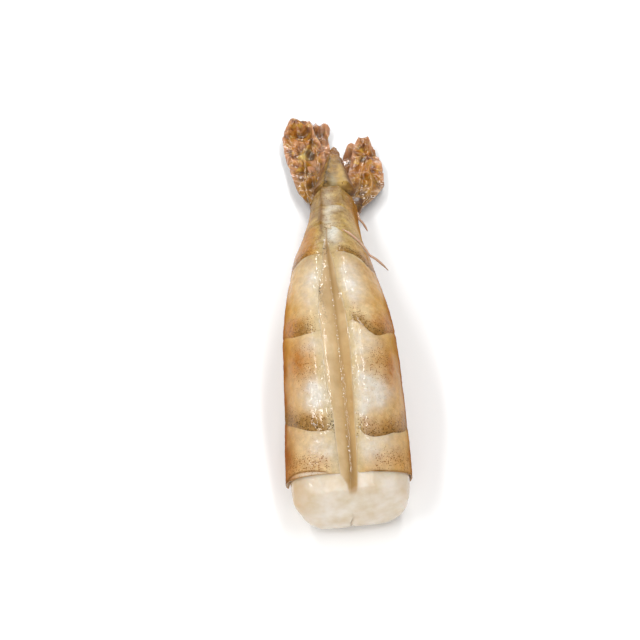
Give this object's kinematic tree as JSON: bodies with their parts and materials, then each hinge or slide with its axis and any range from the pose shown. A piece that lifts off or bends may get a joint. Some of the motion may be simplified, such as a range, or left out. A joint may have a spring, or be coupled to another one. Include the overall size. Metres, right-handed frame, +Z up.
{
  "type": "raw tiger prawn",
  "caption": "Raw headless tiger prawn with banded shell, folded belly legs and spread tail fan, cut open along the back and lying on its belly.",
  "frame": {"origin": "on the surface it lies on, under the middle of its bounding box", "axes": "+Y from the cut front end towards the tail fan, +X across the body, +Z up"},
  "size_m": [0.0362, 0.143, 0.0391],
  "materials": {
    "flesh": "wet, soft sheen",
    "shell": "wet and glossy",
    "legs": "wet",
    "feelers": "wet",
    "tail_fan": "wet and glossy"
  },
  "bodies": {
    "root": {"flesh": "flesh", "shell_1_left": "shell", "shell_1_right": "shell", "shell_2_left": "shell", "shell_2_right": "shell", "shell_3_left": "shell", "shell_3_right": "shell", "shell_4_left": "shell", "shell_4_right": "shell", "shell_5": "shell", "shell_6": "shell", "swimmeret_1_left": "legs", "swimmeret_1_right": "legs", "swimmeret_2_left": "legs", "swimmeret_2_right": "legs", "swimmeret_3_left": "legs", "swimmeret_3_right": "legs", "swimmeret_4_left": "legs", "swimmeret_4_right": "legs", "swimmeret_5_left": "legs", "swimmeret_5_right": "legs", "telson": "tail_fan", "thread_long": "feelers", "thread_short": "feelers", "uropod_left_base": "tail_fan", "uropod_left_inner": "tail_fan", "uropod_left_outer": "tail_fan", "uropod_right_base": "tail_fan", "uropod_right_inner": "tail_fan", "uropod_right_outer": "tail_fan"}
  },
  "joints": []
}
